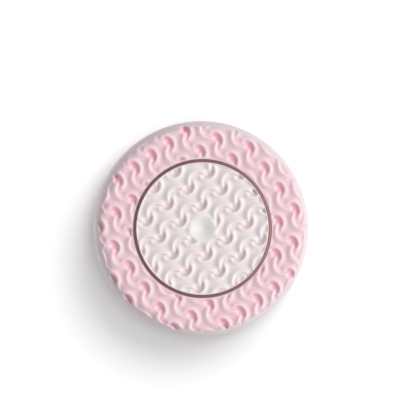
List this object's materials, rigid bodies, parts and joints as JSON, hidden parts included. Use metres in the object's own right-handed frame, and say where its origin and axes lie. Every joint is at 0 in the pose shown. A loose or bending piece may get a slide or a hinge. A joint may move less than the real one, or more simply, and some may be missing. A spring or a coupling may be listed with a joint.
{
  "type": "facial cleansing brush head",
  "caption": "Round counter-rotating treatment head for a facial cleansing brush: a soft textured inner disc turns inside a soft textured outer ring, and plugs onto a powered handle.",
  "frame": {"origin": "centre of the mounting collar's bottom face, on the drive axis", "axes": "+Z along the drive axis, from the handle towards the working face; +Y towards one planet pin; +X towards one key slot of the socket"},
  "size_m": [0.051, 0.051, 0.021],
  "materials": {
    "pink_silicone": "soft satin silicone rubber, slightly translucent, pale pink",
    "white_silicone": "soft satin silicone rubber, slightly translucent, warm white",
    "rose_metal": "anodised rose brown, fine turned lines",
    "ivory_plastic": "moulded ABS, fine spark texture",
    "chassis_plastic": "glass-filled nylon, matte",
    "acetal": "natural acetal, low sheen",
    "planet_acetal": "grey acetal, low sheen",
    "ptfe": "PTFE, waxy",
    "seal_silicone": "translucent grey silicone",
    "steel": "stainless steel, turned",
    "spring_steel": "polished spring wire and strip",
    "bronze": "sintered bronze, oiled"
  },
  "bodies": {
    "base": {"base_collar": "ivory_plastic", "chassis_plate": "chassis_plastic", "chassis_screws": "steel", "center_bush": "bronze", "planet_pins": "steel", "pin_clips": "spring_steel", "latch_ring": "spring_steel", "neck_gasket": "seal_silicone"},
    "inner_disc": {"drive_hub": "acetal", "drive_insert": "steel", "hub_washer": "ptfe", "hub_clip": "spring_steel", "inner_carrier": "ivory_plastic", "inner_screws": "steel", "inner_pad": "white_silicone"},
    "outer_ring": {"outer_carrier": "ivory_plastic", "ring_gear": "acetal", "glide_ring": "ptfe", "retainer_ring": "ivory_plastic", "retainer_screws": "steel", "lip_seal": "seal_silicone", "accent_ring": "rose_metal", "outer_pad": "pink_silicone"},
    "planet_1": {"planet_gear_1": "planet_acetal"},
    "planet_2": {"planet_gear_2": "planet_acetal"},
    "planet_3": {"planet_gear_3": "planet_acetal"}
  },
  "joints": [
    {"name": "inner_spin", "type": "hinge", "parent": "base", "child": "inner_disc", "pos_m": [0, 0, 0.0154], "axis": [0, 0, 1], "continuous": true},
    {"name": "outer_spin", "type": "hinge", "parent": "base", "child": "outer_ring", "pos_m": [0, 0, 0.008], "axis": [0, 0, 1], "continuous": true},
    {"name": "planet_1_spin", "type": "hinge", "parent": "base", "child": "planet_1", "pos_m": [0, 0.0126, 0.0116], "axis": [0, 0, 1], "continuous": true},
    {"name": "planet_2_spin", "type": "hinge", "parent": "base", "child": "planet_2", "pos_m": [-0.01091, -0.0063, 0.0116], "axis": [0, 0, 1], "continuous": true},
    {"name": "planet_3_spin", "type": "hinge", "parent": "base", "child": "planet_3", "pos_m": [0.01091, -0.0063, 0.0116], "axis": [0, 0, 1], "continuous": true}
  ],
  "couplings": [
    {"joint": "outer_spin", "follows": "inner_spin", "ratio": -0.5},
    {"joint": "planet_1_spin", "follows": "inner_spin", "ratio": -2},
    {"joint": "planet_2_spin", "follows": "inner_spin", "ratio": -2},
    {"joint": "planet_3_spin", "follows": "inner_spin", "ratio": -2}
  ]
}
